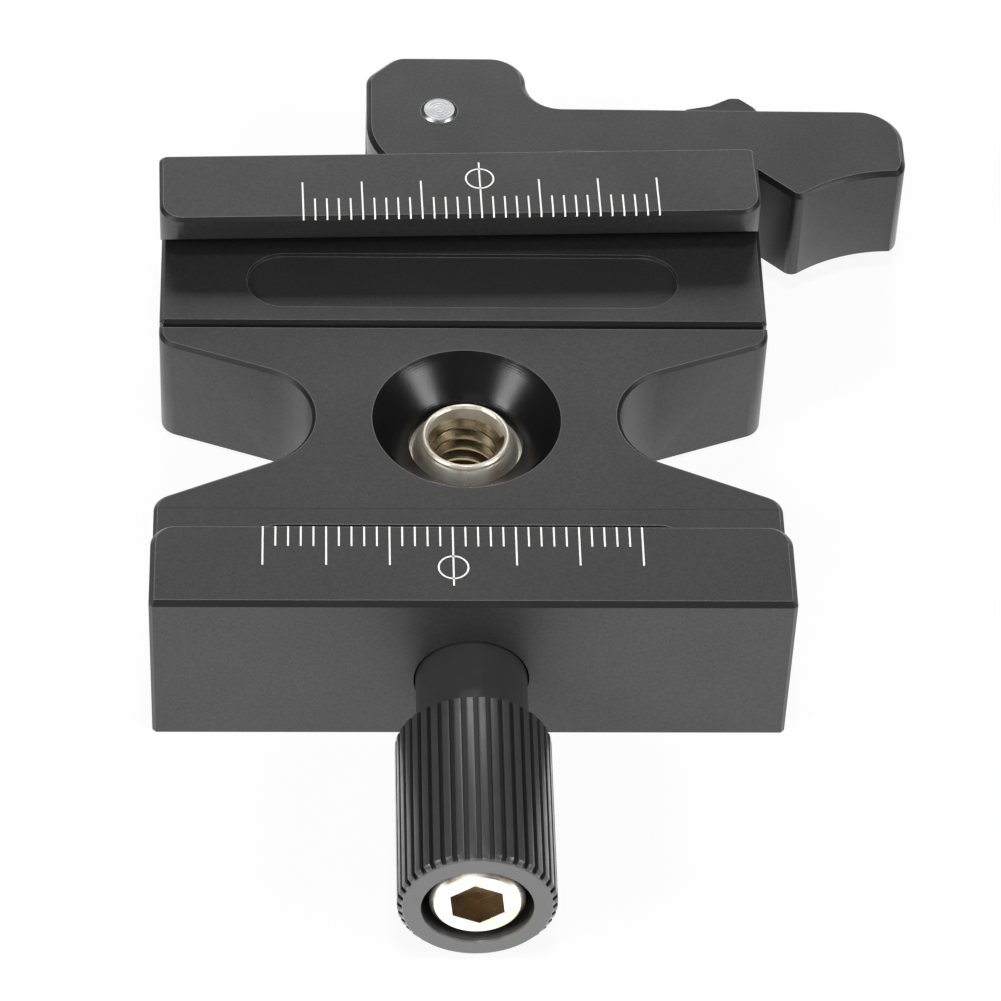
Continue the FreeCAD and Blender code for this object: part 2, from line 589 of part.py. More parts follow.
def build_rod():
    """Draw rod: threaded stem, ring round the boss, flat bar and eye."""
    body = new_body("draw_rod")
    low = "axis_height - rod_thick / 2"
    high = "axis_height + rod_thick / 2"
    inner_back = "(ring_room + tighten_travel)"
    inner_front = "-(ring_room + loosen_travel)"
    block = box(body, "Additive", "ring_block", ("-(ring_room + ring_wall)", "ring_room + ring_wall"),
                (f"{inner_front} - ring_wall", f"{inner_back} + ring_wall"), (low, high))
    side_x = number_of("ring_room + ring_wall")
    front_y = -number_of("ring_room + loosen_travel + ring_wall")
    back_y = number_of("ring_room + tighten_travel + ring_wall")
    corners = [upright_at(x, y) for x in (side_x, -side_x) for y in (front_y, back_y)]
    dress(body, "Fillet", "ring_rounding", block, corners, "2.2")
    box(body, "Subtractive", "ring_opening", ("-ring_room", "ring_room"), (inner_front, inner_back),
        (f"{low} - 1", f"{high} + 1"))
    box(body, "Additive", "flat_bar", ("-bar_half_width", "bar_half_width"),
        (f"{inner_back} + 0.5", "pin_y"), (low, high))
    cylinder(body, "Additive", "pin_eye", "eye_radius", "rod_thick", ("-pin_x", "pin_y", low))
    cylinder(body, "Subtractive", "pin_bore", "pin_radius + fit_clearance", "rod_thick + 2",
             ("-pin_x", "pin_y", f"{low} - 1"))
    tip = "(knob_end - stop_inset - stop_head_height)"
    cylinder(body, "Additive", "stem", "stem_radius", f"{tip} + {inner_front} - 1",
             ("0", f"-{tip}", "axis_height"), FACING_Y)
    cylinder(body, "Subtractive", "stop_thread", "stop_shank_radius", "stop_shank_length + 1.2",
             ("0", f"-{tip} - 1", "axis_height"), FACING_Y)
    return body


def build_washer():
    """Thrust washer under the knob neck."""
    body = new_body("thrust_washer", y="-front_face + counterbore_depth - seat_gap", z="axis_height",
                    rotation=FACING_KNOB)
    cylinder(body, "Additive", "washer_disc", "counterbore_radius - 0.3", "washer_thick")
    cylinder(body, "Subtractive", "washer_hole", "stem_radius + 0.2", "washer_thick + 2",
             ("0", "0", "-1"))
    return body


def build_knob():
    """Ridged adjusting knob with a neck and an end recess."""
    seat = "(-front_face + counterbore_depth - 2 * seat_gap - washer_thick)"
    body = new_body("knob", y=seat, z="axis_height", rotation=FACING_KNOB)
    grip_start = f"({seat} + knob_start)"
    grip_length = "(knob_end - knob_start)"
    cylinder(body, "Additive", "knob_neck", "neck_radius", f"{grip_start} + 1")
    last = cylinder(body, "Additive", "knob_grip", "knob_radius", grip_length,
                    ("0", "0", grip_start))
    neck_rim = 2 * math.pi * number_of("neck_radius") + 1
    rims = [level_at(number_of(grip_start), longer=neck_rim),
            level_at(number_of(f"{grip_start} + {grip_length}"))]
    dress(body, "Chamfer", "grip_chamfers", last, rims, "knob_chamfer")
    cylinder(body, "Subtractive", "knob_thread", "stem_radius + fit_clearance",
             f"{grip_start} + {grip_length} + 2", ("0", "0", "-1"))
    cylinder(body, "Subtractive", "knob_recess", "knob_recess_radius", "knob_recess_depth + 1",
             ("0", "0", f"{grip_start} + {grip_length} - knob_recess_depth"))
    groove = box(body, "Subtractive", "grip_groove", ("-groove_width / 2", "groove_width / 2"),
                 ("knob_radius - groove_depth", "knob_radius + 1"),
                 (f"{grip_start} - 1", f"{grip_start} + {grip_length} + 1"))
    pattern = body.newObject("PartDesign::PolarPattern", "grip_pattern")
    pattern.Originals = [groove]
    pattern.Axis = (next(item for item in body.Origin.OriginFeatures if item.Role == "Z_Axis"), [""])
    pattern.Angle = 360
    pattern.Occurrences = GROOVE_COUNT
    body.Tip = pattern
    doc.recompute()
    return body


def build_stop_screw():
    """Stop screw in the end of the draw rod."""
    body = new_body("knob_screw", y="-(knob_end - stop_inset)", z="axis_height", rotation=FACING_Y)
    head = cylinder(body, "Additive", "stop_head", "stop_head_radius", "stop_head_height")
    dress(body, "Chamfer", "stop_head_break", head, [level_at(0.0)], "0.4")
    cylinder(body, "Additive", "stop_shank", "stop_shank_radius",
             "stop_head_height + stop_shank_length")
    hexagon(body, "Subtractive", "stop_socket_cut", "stop_socket", "stop_socket_depth + 1",
            ("0", "0", "-1"), SOCKET_TURN)
    return body


def build_lever():
    """Cam lever: head, cam face, arm and finger grip."""
    body = new_body("lever", "-pin_x", "pin_y", "lever_bottom")
    corners = []
    for step in range(CAM_STEPS + 1):
        turn = 90.0 * step / CAM_STEPS
        drop = f"(cam_reach - pin_x * {math.radians(turn):.6f})"
        side = f"sin({turn:.4f})"
        ahead = f"cos({turn:.4f})"
        corners.append((f"-{drop} * {side} + pin_x * {ahead}", f"-{drop} * {ahead} - pin_x * {side}"))
    last_x = f"-(cam_reach - pin_x * {math.pi / 2:.6f})"
    corners += [
        (last_x, "head_back - head_bevel"),
        (f"{last_x} + head_bevel", "head_back"),
        ("head_right", "head_back"),
        ("head_right", "arm_back"),
        ("arm_end", "arm_back - arm_taper"),
        ("arm_end", "-grip_end_depth"),
        ("grip_tip", "-grip_depth"),
        ("grip_start", "-arm_front"),
        ("web_start", "-arm_front"),
        ("cam_front_end", "-cam_reach"),
    ]
    plan = outline(body, "lever_plan", "XY_Plane", corners)
    blank = pad(body, "lever_blank", plan, "lever_height")
    left = number_of(last_x)
    back = number_of("head_back")
    right = number_of("head_right")
    arm_end = number_of("arm_end")
    arm_back = number_of("arm_back")
    bevel = number_of("head_bevel")
    last = dress(body, "Fillet", "head_rounding", blank, [upright_at(right, back)], "head_corner")
    last = dress(body, "Fillet", "bevel_rounding", last,
                 [upright_at(left, back - bevel), upright_at(left + bevel, back)], "bevel_corner")
    last = dress(body, "Fillet", "arm_root_rounding", last, [upright_at(right, arm_back)], "root_corner")
    last = dress(body, "Fillet", "arm_end_rounding", last,
                 [upright_at(arm_end, number_of("arm_back - arm_taper"))], "end_corner")
    last = dress(body, "Fillet", "grip_end_rounding", last,
                 [upright_at(arm_end, -number_of("grip_end_depth"))], "grip_corner")
    front = -number_of("arm_front")
    last = dress(body, "Fillet", "front_rounding", last,
                 [upright_at(number_of("grip_start"), front), upright_at(number_of("web_start"), front)],
                 "front_corner")
    last = dress(body, "Fillet", "grip_tip_rounding", last,
                 [upright_at(number_of("grip_tip"), -number_of("grip_depth"))], "tip_corner")
    top = number_of("lever_height")
    dress(body, "Chamfer", "lever_breaks", last, [level_at(top), level_at(0.0)], "lever_chamfer")
    cylinder(body, "Subtractive", "finger_hollow", "hollow_radius", "lever_height + 2",
             ("hollow_x", "-hollow_y", "-1"))
    flare = "(hollow_radius + lever_chamfer + 0.1)"
    for word, radii, level in (("upper", ("hollow_radius", flare), "lever_height - lever_chamfer"),
                               ("lower", (flare, "hollow_radius"), "-0.1")):
        hollow_break = body.newObject("PartDesign::SubtractiveCone", f"hollow_break_{word}")
        bind(hollow_break, "Radius1", radii[0])
        bind(hollow_break, "Radius2", radii[1])
        bind(hollow_break, "Height", "lever_chamfer + 0.1")
        place(hollow_break, "hollow_x", "-hollow_y", level, UPRIGHT)
        doc.recompute()
    middle = "(axis_height - lever_bottom)"
    box(body, "Subtractive", "rod_slot", ("-cam_reach - 2", "slot_right"), ("-cam_reach - 2", "slot_back"),
        (f"{middle} - rod_thick / 2 - slide_clearance", f"{middle} + rod_thick / 2 + slide_clearance"))
    cylinder(body, "Subtractive", "pin_hole", "pin_radius", "lever_height + 2", ("0", "0", "-1"))
    box(body, "Subtractive", "latch_slot", ("latch_x - 3.6", "latch_x + 4.4"), ("-arm_front - 2", "3"),
        (f"{middle} - latch_thick / 2 - latch_room", f"{middle} + latch_thick / 2 + latch_room"))
    cylinder(body, "Subtractive", "latch_pin_hole", "latch_pin_radius", "lever_height",
             ("latch_x", "-latch_y", "-1.2"))
    return body


def build_lever_pin():
    """Upright pin through the lever head."""
    body = new_body("lever_pin", "-pin_x", "pin_y", "lever_bottom")
    last = cylinder(body, "Additive", "pin_shaft", "pin_radius", "lever_height + 0.2")
    top = number_of("lever_height") + 0.2
    dress(body, "Chamfer", "pin_ends", last, [level_at(top), level_at(0.0)], "0.25")
    return body


def build_cam_plate():
    """Wear plate between the cam and the carriage."""
    body = new_body("cam_plate", "-pin_x", "carriage_back - plate_inset", "0")
    face = "pin_y - cam_reach - cam_clearance - (carriage_back - plate_inset)"
    box(body, "Additive", "plate_blank", ("-plate_left", "plate_right"), ("0", face),
        ("plate_bottom", "plate_top"))
    box(body, "Subtractive", "plate_window", ("-(eye_radius + slide_clearance)",
                                               "pin_x + bar_half_width + slide_clearance"),
        ("-1", f"{face} + 1"), ("axis_height - rod_thick / 2 - slide_clearance",
                                "axis_height + rod_thick / 2 + slide_clearance"))
    return body


def build_latch():
    """Safety latch: thumb tab behind the arm and a nose in front of it."""
    body = new_body("safety_latch", "-pin_x + latch_x", "pin_y - latch_y", "axis_height")
    tab = outline(body, "tab_plan", "XY_Plane", [
        ("-tab_half", "tab_foot"),
        ("1.1 * tab_half", "tab_foot"),
        ("0.97 * tab_half", "tab_foot + 0.36 * tab_rise"),
        ("0.57 * tab_half", "tab_foot + tab_rise"),
        ("0.3 * tab_half", "tab_foot + tab_rise"),
        ("-0.27 * tab_half", "tab_foot + 0.45 * tab_rise"),
        ("-tab_half", "tab_foot + 0.17 * tab_rise"),
    ], "-tab_height / 2")
    block = pad(body, "thumb_tab", tab, "tab_height")
    ridge_y = number_of("tab_foot + tab_rise")
    dress(body, "Fillet", "tab_rounding", block,
          [upright_at(number_of("0.57 * tab_half"), ridge_y),
           upright_at(number_of("0.3 * tab_half"), ridge_y)], "tab_nose")
    stem = outline(body, "stem_plan", "XY_Plane", [
        ("-stem_half", "-arm_front + latch_y"),
        ("-0.63 * stem_half", "-arm_front + latch_y - catch_reach"),
        ("0.47 * stem_half", "-arm_front + latch_y - catch_reach"),
        ("stem_half", "-arm_front + latch_y"),
        ("stem_half", "tab_foot + 0.25"),
        ("-stem_half", "tab_foot + 0.25"),
    ], "-latch_thick / 2")
    pad(body, "latch_stem", stem, "latch_thick")
    cylinder(body, "Subtractive", "latch_bore", "latch_pin_radius + fit_clearance", "latch_thick + 4",
             ("0", "0", "-latch_thick / 2 - 2"))
    return body


def build_latch_pin():
    """Upright pin of the safety latch."""
    body = new_body("latch_pin", "-pin_x + latch_x", "pin_y - latch_y", "lever_bottom + 0.3")
    cylinder(body, "Additive", "latch_shaft", "latch_pin_radius", "lever_height - 1.6")
    return body


PIECES = [build_base(), build_bushing(), build_carriage(), build_rear_jaw()]
for word, sign in (("left", "-1"), ("right", "1")):
    PIECES.append(build_jaw_screw(word, sign))
    PIECES.append(build_guide_pin(word, sign))
    coil_start = (f"{sign} * guide_x", "base_back + spring_wire + 0.02", "axis_height")
    PIECES.append(build_coil(f"return_spring_{word}", coil_start, "y", "spring_mean_radius", "spring_wire",
                             "spring_seat_end - base_back - 2 * spring_wire - 0.04", RETURN_TURNS))
PIECES += [build_rod(), build_washer(), build_knob(), build_stop_screw(), build_lever(),
           build_lever_pin(), build_cam_plate(), build_latch(), build_latch_pin()]
PIECES.append(build_coil("latch_spring", ("-pin_x + latch_x + 2.12", "pin_y - latch_y + 1.9", "axis_height"),
                         "x", "latch_coil_radius", "latch_coil_wire", "latch_coil_length",
                         LATCH_TURNS))

doc.recompute()
for item in doc.Objects:
    if "Invalid" in item.State or "Error" in item.State:
        raise RuntimeError(f"{item.Label}: {item.State}")
os.makedirs("parts", exist_ok=True)
for piece in PIECES:
    shape = piece.Shape
    if shape.isNull() or not shape.isValid():
        raise RuntimeError(f"{piece.Label}: shape is not valid")
    if len(shape.Solids) != 1:
        raise RuntimeError(f"{piece.Label}: {len(shape.Solids)} solids")
    shape.exportStep(f"parts/{piece.Label}.step")
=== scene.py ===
"""Looks for a lever-operated dovetail clamp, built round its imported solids."""

import logging
import math
from dataclasses import dataclass, field
from enum import Enum
from typing import Iterable, Sequence

import bmesh
import bpy
from mathutils import Matrix, Vector


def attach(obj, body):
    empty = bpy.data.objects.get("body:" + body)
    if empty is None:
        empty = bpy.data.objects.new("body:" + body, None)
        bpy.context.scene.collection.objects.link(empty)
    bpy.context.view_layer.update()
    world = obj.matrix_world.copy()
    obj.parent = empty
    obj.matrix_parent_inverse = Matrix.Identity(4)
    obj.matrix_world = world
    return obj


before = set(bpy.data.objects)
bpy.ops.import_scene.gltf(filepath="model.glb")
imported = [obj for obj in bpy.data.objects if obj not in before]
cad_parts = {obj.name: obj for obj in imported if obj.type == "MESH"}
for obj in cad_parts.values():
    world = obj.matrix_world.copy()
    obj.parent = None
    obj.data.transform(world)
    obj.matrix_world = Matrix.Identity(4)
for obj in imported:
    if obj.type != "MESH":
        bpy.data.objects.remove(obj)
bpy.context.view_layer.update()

logging.basicConfig(level=logging.INFO, format="%(message)s")
LOG = logging.getLogger("dovetail_clamp")

MM = 0.001
WHITE = "#ffffff"
NOISE_LOW, NOISE_HIGH = 0.3, 0.7

Tree = bpy.types.NodeTree
Link = bpy.types.NodeSocket
Point = tuple[float, float, float]
Colour = tuple[float, float, float, float]


def mm(*values: float) -> Vector:
    """Turn millimetres into a vector in metres."""
    return Vector(values) * MM


def linear(hex_colour: str) -> Colour:
    """Turn an sRGB hex colour into linear light.

    Args:
        hex_colour: six hex digits after a hash sign.

    Returns:
        Red, green and blue in linear light, and full opacity.
    """
    channels = [int(hex_colour[start:start + 2], 16) / 255 for start in (1, 3, 5)]
    light = [c / 12.92 if c <= 0.04045 else ((c + 0.055) / 1.055) ** 2.4 for c in channels]
    return (light[0], light[1], light[2], 1.0)


class Axis(Enum):
    """Axis of a turned piece, as the mask that drops the direction along it."""

    UPRIGHT = (1.0, 1.0, 0.0)
    KNOB = (1.0, 0.0, 1.0)


def add_node(tree: Tree, kind: str, settings: dict[str, object] | None = None,
             inputs: dict[int | str, object] | None = None) -> bpy.types.Node:
    """Add one shader node.

    Args:
        tree: the node tree that takes the node.
        kind: the kind of node.
        settings: properties to set on the node.
        inputs: input sockets by name or number, each a value or the socket to link from.

    Returns:
        The new node.
    """
    node = tree.nodes.new(kind)
    for name, value in (settings or {}).items():
        setattr(node, name, value)
    for name, value in (inputs or {}).items():
        if isinstance(value, Link):
            tree.links.new(value, node.inputs[name])
        else:
            node.inputs[name].default_value = value
    return node


def arithmetic(tree: Tree, operation: str, *values: float | Link) -> Link:
    """Work out one sum of sockets and numbers in the shader.

    Args:
        tree: the node tree.
        operation: the name of the sum, such as MULTIPLY.
        values: its terms in order.

    Returns:
        The socket with the result.
    """
    return add_node(tree, "ShaderNodeMath", {"operation": operation}, dict(enumerate(values))).outputs[0]


def place_on_piece(tree: Tree) -> Link:
    """Give the place on the piece in metres, in the frame of the solids."""
    return add_node(tree, "ShaderNodeTexCoord").outputs["Object"]


def one_way(tree: Tree, vector: Link, direction: str) -> Link:
    """Give one coordinate, X, Y or Z, of a vector socket."""
    return add_node(tree, "ShaderNodeSeparateXYZ", {}, {0: vector}).outputs[direction]


def distance_from_axis(tree: Tree, centre: Point, axis: Axis) -> Link:
    """Give the distance in metres from a turned piece's axis.

    Args:
        tree: the node tree.
        centre: a point on the axis, in millimetres.
        axis: the direction of the axis.

    Returns:
        The socket with the distance.
    """
    moved = add_node(tree, "ShaderNodeVectorMath", {"operation": "SUBTRACT"},
                     {0: place_on_piece(tree), 1: mm(*centre)})
    flat = add_node(tree, "ShaderNodeVectorMath", {"operation": "MULTIPLY"},
                    {0: moved.outputs[0], 1: axis.value})
    return add_node(tree, "ShaderNodeVectorMath", {"operation": "LENGTH"},
                    {0: flat.outputs[0]}).outputs["Value"]


def turning_rings(tree: Tree, radius: Link, pitch_mm: float) -> Link:
    """Give the wave of the fine rings that a lathe leaves.

    Args:
        tree: the node tree.
        radius: the distance from the axis in metres.
        pitch_mm: the distance between two rings.

    Returns:
        The socket with the height of the wave, from -1 to 1.
    """
    return arithmetic(tree, "SINE", arithmetic(tree, "MULTIPLY", radius, 2 * math.pi / (pitch_mm * MM)))


def noise(tree: Tree, grain_mm: float, detail: float = 3.0) -> Link:
    """Give noise with grains of a given size.

    Args:
        tree: the node tree.
        grain_mm: about how wide a grain is.
        detail: how many finer layers the noise has.

    Returns:
        The socket with the noise.
    """
    return add_node(tree, "ShaderNodeTexNoise", {}, {
        "Vector": place_on_piece(tree), "Scale": 1.0 / (grain_mm * MM), "Detail": detail,
        "Roughness": 0.6}).outputs["Fac"]


def between(tree: Tree, value: Link, low: float, high: float, low_to: float, high_to: float) -> Link:
    """Map a range of a socket to another range and hold it at the ends.

    Args:
        tree: the node tree.
        value: the socket to map.
        low: where its range starts.
        high: where its range ends.
        low_to: what the start becomes.
        high_to: what the end becomes.

    Returns:
        The mapped socket.
    """
    return add_node(tree, "ShaderNodeMapRange", {"clamp": True}, {
        "Value": value, "From Min": low, "From Max": high, "To Min": low_to,
        "To Max": high_to}).outputs[0]


def vary(tree: Tree, grains: Link, lowest: float, highest: float) -> Link:
    """Spread noise over a range of values.

    Args:
        tree: the node tree.
        grains: the noise.
        lowest: the value in its dark grains.
        highest: the value in its light grains.

    Returns:
        The socket with the values.
    """
    return between(tree, grains, NOISE_LOW, NOISE_HIGH, lowest, highest)


def blend_colour(tree: Tree, share: Link, first: Link | Colour, second: Link | Colour) -> Link:
    """Blend two colours.

    Args:
        tree: the node tree.
        share: the second colour's share, from 0 to 1.
        first: the colour at 0.
        second: the colour at 1.

    Returns:
        The socket with the colour.
    """
    return add_node(tree, "ShaderNodeMix", {"data_type": "RGBA"}, {0: share, 6: first, 7: second}).outputs[2]


def bump(tree: Tree, height: Link, depth_mm: float, strength: float, under: Link | None = None) -> Link:
    """Raise the surface by a height.

    Args:
        tree: the node tree.
        height: the height as a socket.
        depth_mm: how far a height of 1 lies above 0.
        strength: how strongly it shows.
        under: the normal of a bump below this one.

    Returns:
        The socket with the new normal.
    """
    inputs: dict[int | str, object] = {"Height": height, "Distance": depth_mm * MM, "Strength": strength}
    if under is not None:
        inputs["Normal"] = under
    return add_node(tree, "ShaderNodeBump", {}, inputs).outputs[0]


def rim_share(tree: Tree, width_mm: float) -> Link:
    """Give 1 along the sharp rims of faces that look up, where a highlight is painted, and 0 elsewhere.

    Args:
        tree: the node tree.
        width_mm: how far from the edge the share reaches.

    Returns:
        The socket with the share.
    """
    rounded = add_node(tree, "ShaderNodeBevel", {"samples": 4}, {"Radius": width_mm * MM}).outputs[0]
    flat = add_node(tree, "ShaderNodeNewGeometry").outputs["Normal"]
    same = add_node(tree, "ShaderNodeVectorMath", {"operation": "DOT_PRODUCT"},
                    {0: rounded, 1: flat}).outputs["Value"]
    rim = between(tree, same, 0.99, 0.93, 0.0, 1.0)
    upward = between(tree, one_way(tree, flat, "Z"), 0.75, 0.95, 0.0, 1.0)
    return arithmetic(tree, "MULTIPLY", rim, upward)


def chamfer_share(tree: Tree) -> Link:
    """Give 1 on chamfers that look up at a slant, where shade is painted, and 0 elsewhere.

    Args:
        tree: the node tree.

    Returns:
        The socket with the share.
    """
    upward = one_way(tree, add_node(tree, "ShaderNodeNewGeometry").outputs["True Normal"], "Z")
    steep = between(tree, upward, 0.35, 0.5, 0.0, 1.0)
    not_flat = between(tree, upward, 0.88, 0.96, 1.0, 0.0)
    return arithmetic(tree, "MULTIPLY", steep, not_flat)


@dataclass(frozen=True)
class Finish:
    """What one material is, by name."""

    name: str

    def start(self) -> tuple[bpy.types.Material, Tree, bpy.types.Node]:
        """Start the material.

        Returns:
            The material, its node tree and its surface shader.
        """
        material = bpy.data.materials.new(self.name)
        material.use_nodes = True
        tree = material.node_tree
        return material, tree, tree.nodes["Principled BSDF"]

    def build(self) -> bpy.types.Material:
        """Make the finish."""
        raise NotImplementedError(self.name)


@dataclass(frozen=True)
class BlastedAnodised(Finish):
    """Aluminium, bead blasted and dyed black.

    The eye gets an even dark satin with a fine tooth. Its slanting chamfers get painted shade,
    and the rims above them get a painted highlight as thin pale lines.
    """

    dye: str = "#363636"
    dye_high: str = "#404040"
    # Real blasting leaves grains of about 0.05 mm. They are drawn coarser, so that they show.
    grain_mm: float = 0.22
    tooth_mm: float = 0.012
    cloud_mm: float = 9.0
    roughness: float = 0.46
    roughness_spread: float = 0.04
    # The oxide layer dulls the metal, so it counts as metal by about half.
    metallic: float = 0.55
    rim_mm: float = 0.14
    # Painted highlight along the rims, and painted shade on the slanting chamfers below them.
    rim_highlight: str = "#8c8c8c"
    chamfer_shade: str = "#202021"

    def build(self) -> bpy.types.Material:
        """Make the finish.

        Returns:
            The material.
        """
        material, tree, shader = self.start()
        grain = noise(tree, self.grain_mm, 2.0)
        cloud = noise(tree, self.cloud_mm, 2.0)
        speck = vary(tree, grain, 0.0, 1.0)
        colour = blend_colour(tree, speck, linear(self.dye), linear(self.dye_high))
        # Painted shade on chamfers that slant upward.
        colour = blend_colour(tree, chamfer_share(tree), colour, linear(self.chamfer_shade))
        # Painted highlight along the rims of faces that look up.
        colour = blend_colour(tree, rim_share(tree, self.rim_mm), colour, linear(self.rim_highlight))
        tree.links.new(colour, shader.inputs["Base Color"])
        rough = vary(tree, cloud, self.roughness - self.roughness_spread,
                     self.roughness + self.roughness_spread)
        tree.links.new(rough, shader.inputs["Roughness"])
        tree.links.new(bump(tree, grain, self.tooth_mm, 0.35), shader.inputs["Normal"])
        shader.inputs["Metallic"].default_value = self.metallic
        return material


@dataclass(frozen=True)
class FunnelledAnodised(BlastedAnodised):
    """Blasted black aluminium with a funnel that was turned after blasting.

    The eye gets the satin of the body and, in the funnel, deep black with two soft bands of light.
    """

    funnel_radius: float = 7.72
    floor_height: float = 11.13
    turned: str = "#1b1b1c"
    turned_roughness: float = 0.27
    # The cutter's feed is about 0.05 mm, drawn three times as wide, so that it spreads the light.
    ring_pitch_mm: float = 0.16
    ring_depth_mm: float = 0.004
    witness_y: float = -10.1
    witness_width: float = 0.12
    witness_strength: float = 0.45

    def build(self) -> bpy.types.Material:
        """Make the finish and add the turned funnel.

        Returns:
            The material.
        """
        material = super().build()
        tree = material.node_tree
        shader = tree.nodes["Principled BSDF"]
        radius = distance_from_axis(tree, (0.0, 0.0, 0.0), Axis.UPRIGHT)
        inside = arithmetic(tree, "LESS_THAN", radius, self.funnel_radius * MM)
        height = one_way(tree, place_on_piece(tree), "Z")
        below = arithmetic(tree, "LESS_THAN", height, (self.floor_height - 0.02) * MM)
        share = arithmetic(tree, "MULTIPLY", inside, below)
        blasted_colour, blasted_rough, blasted_bump = (
            shader.inputs[name].links[0].from_socket for name in ("Base Color", "Roughness", "Normal"))
        tree.links.new(blend_colour(tree, share, blasted_colour, linear(self.turned)),
                       shader.inputs["Base Color"])
        rough = add_node(tree, "ShaderNodeMix", {"data_type": "FLOAT"},
                         {0: share, 2: blasted_rough, 3: self.turned_roughness})
        tree.links.new(rough.outputs[0], shader.inputs["Roughness"])
        grooves = arithmetic(tree, "MULTIPLY", turning_rings(tree, radius, self.ring_pitch_mm), share)
        tree.links.new(bump(tree, grooves, self.ring_depth_mm, 0.3, blasted_bump), shader.inputs["Normal"])
        self.add_witness_line(tree, shader)
        return material

    def add_witness_line(self, tree: Tree, shader: bpy.types.Node) -> None:
        """Draw the faint line that a cutter left across the floor in front of the funnel.

        Args:
            tree: the node tree.
            shader: the surface shader.
        """
        along = one_way(tree, place_on_piece(tree), "Y")
        line = arithmetic(tree, "COMPARE", along, self.witness_y * MM, self.witness_width * MM / 2)
        before = shader.inputs["Base Color"].links[0].from_socket
        faint = arithmetic(tree, "MULTIPLY", line, self.witness_strength)
        tree.links.new(blend_colour(tree, faint, before, linear(self.turned)), shader.inputs["Base Color"])


@dataclass(frozen=True)
class RidgedAnodised(Finish):
    """Black anodised knob, turned and then grooved.

    The eye gets satin ridges, painted shade in the grooves between them and a turned ring at the end with a
    painted highlight where it mirrors the white table.
    """

    ridge: str = "#505050"
    # Painted shade in the grooves and a painted highlight on the end ring.
    groove_shade: str = "#3c3c3c"
    end_ring_highlight: str = "#646464"
    centre: Point = (0.0, 0.0, 6.5)
    ridge_radius: float = 6.15
    ridge_round: float = 0.12
    groove_depth: float = 0.38
    grip_start: float = -30.9
    end_from: float = -46.9
    roughness: float = 0.36
    # Tool marks of about 0.05 mm, drawn coarser, so that they show.
    grain_mm: float = 0.2
    grain_depth_mm: float = 0.008
    patch_mm: float = 1.1
    metallic: float = 0.6

    def build(self) -> bpy.types.Material:
        """Make the finish.

        Returns:
            The material.
        """
        material, tree, shader = self.start()
        radius = distance_from_axis(tree, self.centre, Axis.KNOB)
        height = between(tree, radius, (self.ridge_radius - self.groove_depth) * MM,
                         (self.ridge_radius - self.ridge_round) * MM, 0.0, 1.0)
        along = one_way(tree, place_on_piece(tree), "Y")
        ends = arithmetic(tree, "LESS_THAN", along, self.end_from * MM)
        neck = arithmetic(tree, "GREATER_THAN", along, self.grip_start * MM)
        lit = arithmetic(tree, "MAXIMUM", height, arithmetic(tree, "MAXIMUM", ends, neck))
        # Painted shade deep in the grooves; the neck and the end keep the ridge colour.
        colour = blend_colour(tree, lit, linear(self.groove_shade), linear(self.ridge))
        # Painted highlight on the end ring, where it mirrors the white table.
        tree.links.new(blend_colour(tree, ends, colour, linear(self.end_ring_highlight)), shader.inputs["Base Color"])
        rough = vary(tree, noise(tree, self.patch_mm), self.roughness - 0.05, self.roughness + 0.06)
        tree.links.new(rough, shader.inputs["Roughness"])
        marks = bump(tree, noise(tree, self.grain_mm, 2.0), self.grain_depth_mm, 0.25)
        tree.links.new(marks, shader.inputs["Normal"])
        shader.inputs["Metallic"].default_value = self.metallic
        return material


@dataclass(frozen=True)
class TurnedSteel(Finish):
    """Stainless steel from the lathe.

    The eye gets a bright metal with fine rings round its axis and a slight warm tint in patches.
    """

    steel: str = "#c9c4b8"
    tint: str = "#a8926a"
    centre: Point = (0.0, 0.0, 0.0)
    axis: Axis = Axis.UPRIGHT
    # A lathe's feed is about 0.1 mm, drawn wider, so that the rings show.
    ring_pitch_mm: float = 0.22
    ring_depth_mm: float = 0.006
    ring_strength: float = 0.35
    patch_mm: float = 2.4
    stain_mm: float = 0.7
    roughness: float = 0.24
    metallic: float = 1.0
    socket_radius: float = 0.0
    socket_from: float = 0.0
    socket_shade: str = "#a3937c"

    def build(self) -> bpy.types.Material:
        """Make the finish, with painted brown shade in a socket where one is stated.

        Returns:
            The material.
        """
        material, tree, shader = self.start()
        radius = distance_from_axis(tree, self.centre, self.axis)
        patches = between(tree, noise(tree, self.patch_mm), 0.42, 0.7, 0.0, 0.6)
        colour = blend_colour(tree, patches, linear(self.steel), linear(self.tint))
        if self.socket_radius:
            along = one_way(tree, place_on_piece(tree), "Y")
            inside = arithmetic(tree, "LESS_THAN", radius, self.socket_radius * MM)
            deep = arithmetic(tree, "GREATER_THAN", along, self.socket_from * MM)
            # Painted brown shade inside the hex socket recess.
            colour = blend_colour(tree, arithmetic(tree, "MULTIPLY", inside, deep), colour,
                                  linear(self.socket_shade))
        tree.links.new(colour, shader.inputs["Base Color"])
        rough = vary(tree, noise(tree, self.stain_mm), self.roughness - 0.06, self.roughness + 0.08)
        tree.links.new(rough, shader.inputs["Roughness"])
        rings = turning_rings(tree, radius, self.ring_pitch_mm)
        tree.links.new(bump(tree, rings, self.ring_depth_mm, self.ring_strength), shader.inputs["Normal"])
        shader.inputs["Metallic"].default_value = self.metallic
        return material


